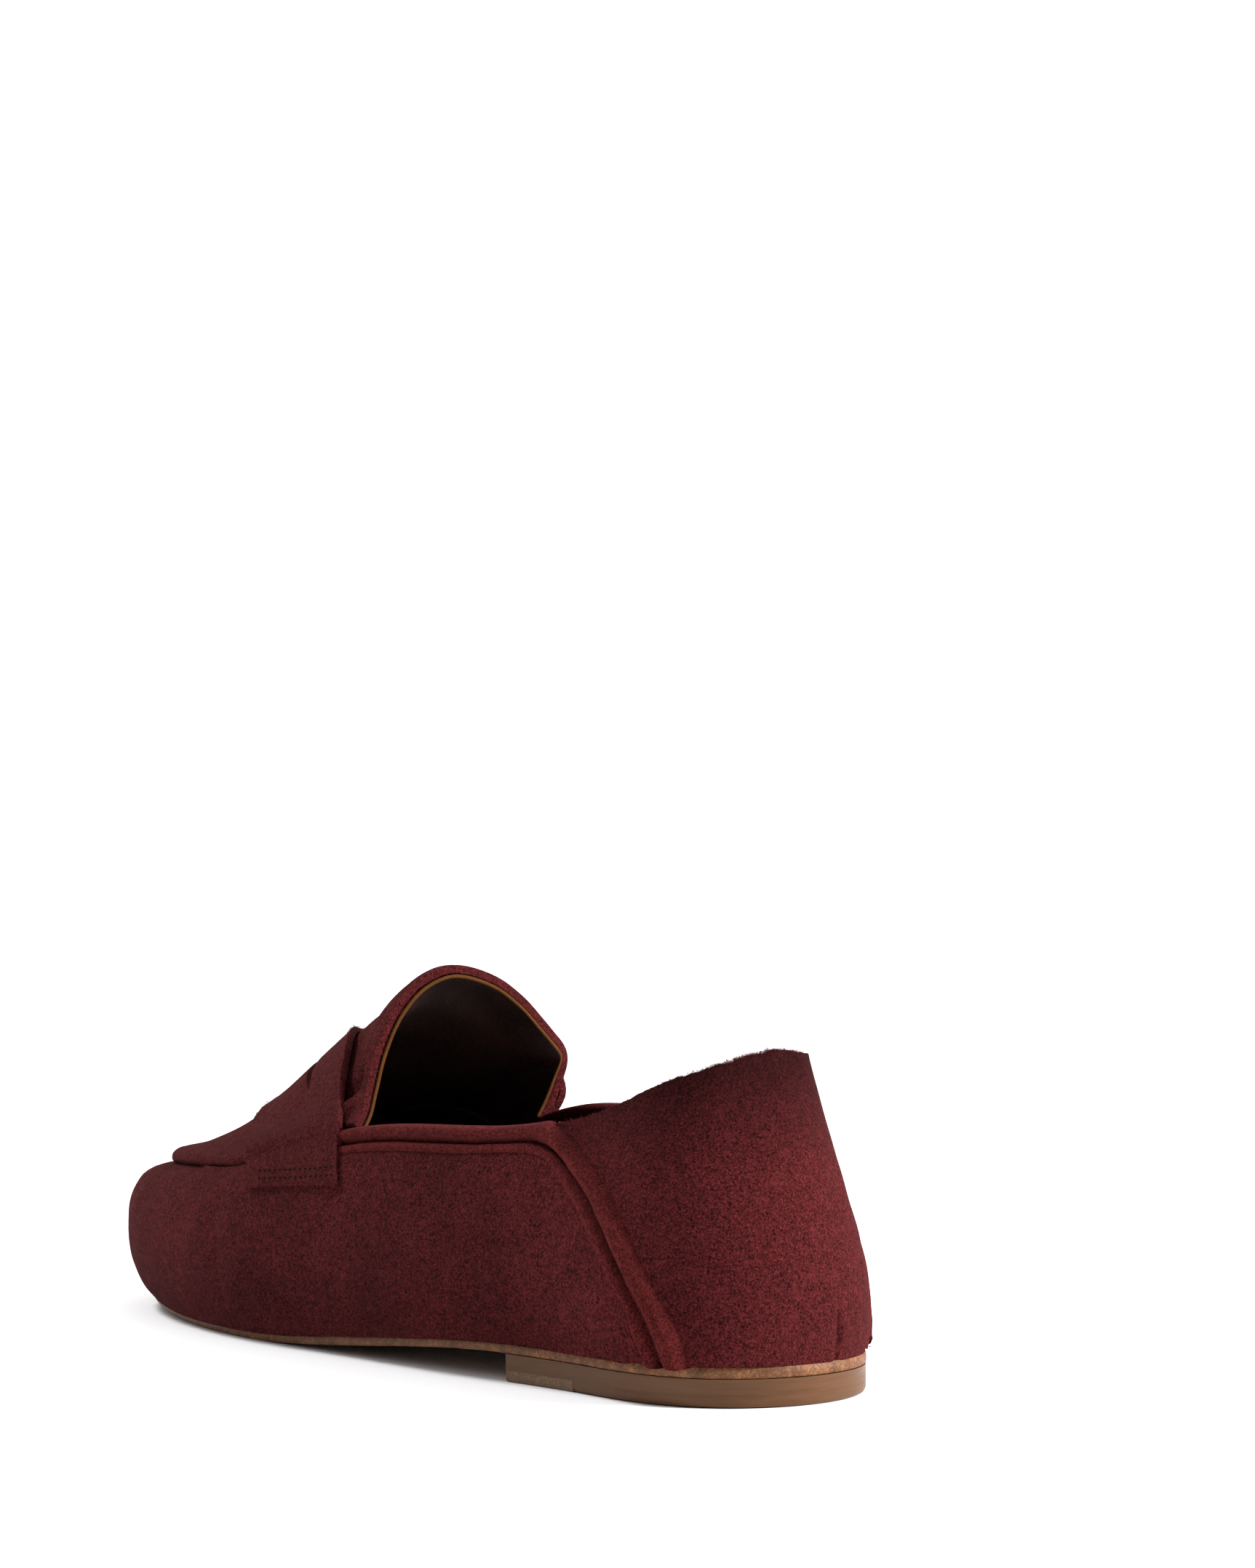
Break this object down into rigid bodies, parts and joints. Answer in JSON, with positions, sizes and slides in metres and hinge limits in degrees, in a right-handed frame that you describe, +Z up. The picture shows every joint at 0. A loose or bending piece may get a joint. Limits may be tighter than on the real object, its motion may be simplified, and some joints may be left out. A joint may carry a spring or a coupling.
{
  "type": "penny loafer",
  "caption": "Low suede slip-on shoe with a slotted saddle strap, a raised apron seam, a rolled collar, a soft fold-down back and a thin leather sole on a low heel.",
  "frame": {"origin": "centre of the heel's ground face", "axes": "+X runs to the toe, +Y to the outer (lateral) side of the left foot, +Z is up"},
  "size_m": [0.2558, 0.0946, 0.0841],
  "materials": {
    "suede": "burgundy suede with a short nap",
    "back_suede": "burgundy suede with a long rough nap",
    "binding_suede": "darker burgundy suede, folded and stitched",
    "lining": "dark brown smooth leather",
    "tan_lining": "tan smooth leather with a raw edge",
    "sole_leather": "brown finished edge leather, satin",
    "insert_leather": "lighter speckled leather",
    "heel_rubber": "taupe brown, smooth satin",
    "steel": "plain steel",
    "cork": "granular cork",
    "board": "pressed cellulose board",
    "foam": "latex foam",
    "puff": "thin thermoplastic stiffener"
  },
  "bodies": {
    "shoe": {"outsole": "sole_leather", "heel_lift": "sole_leather", "heel_top_rubber": "heel_rubber", "heel_top_leather": "insert_leather", "heel_nails": "steel", "bottom_filler": "cork", "shank": "steel", "insole_board": "board", "heel_cushion": "foam", "sock_lining": "lining", "side_wall": "suede", "collar_binding_lateral": "binding_suede", "collar_binding_medial": "binding_suede", "heel_back_surround": "back_suede", "apron": "suede", "tongue": "suede", "apron_lining": "lining", "tongue_lining": "tan_lining", "quarter_lining_lateral": "lining", "quarter_lining_medial": "lining", "vamp_lining": "lining", "toe_puff": "puff", "penny_strap": "suede"},
    "back_flap": {"heel_back_flap": "back_suede"}
  },
  "joints": [
    {"name": "heel_fold", "type": "hinge", "parent": "shoe", "child": "back_flap", "pos_m": [-0.0205, 0, 0.019], "axis": [0, 1, 0], "range_deg": [0, 75], "stiffness_Nm_per_rad": 0.01}
  ]
}
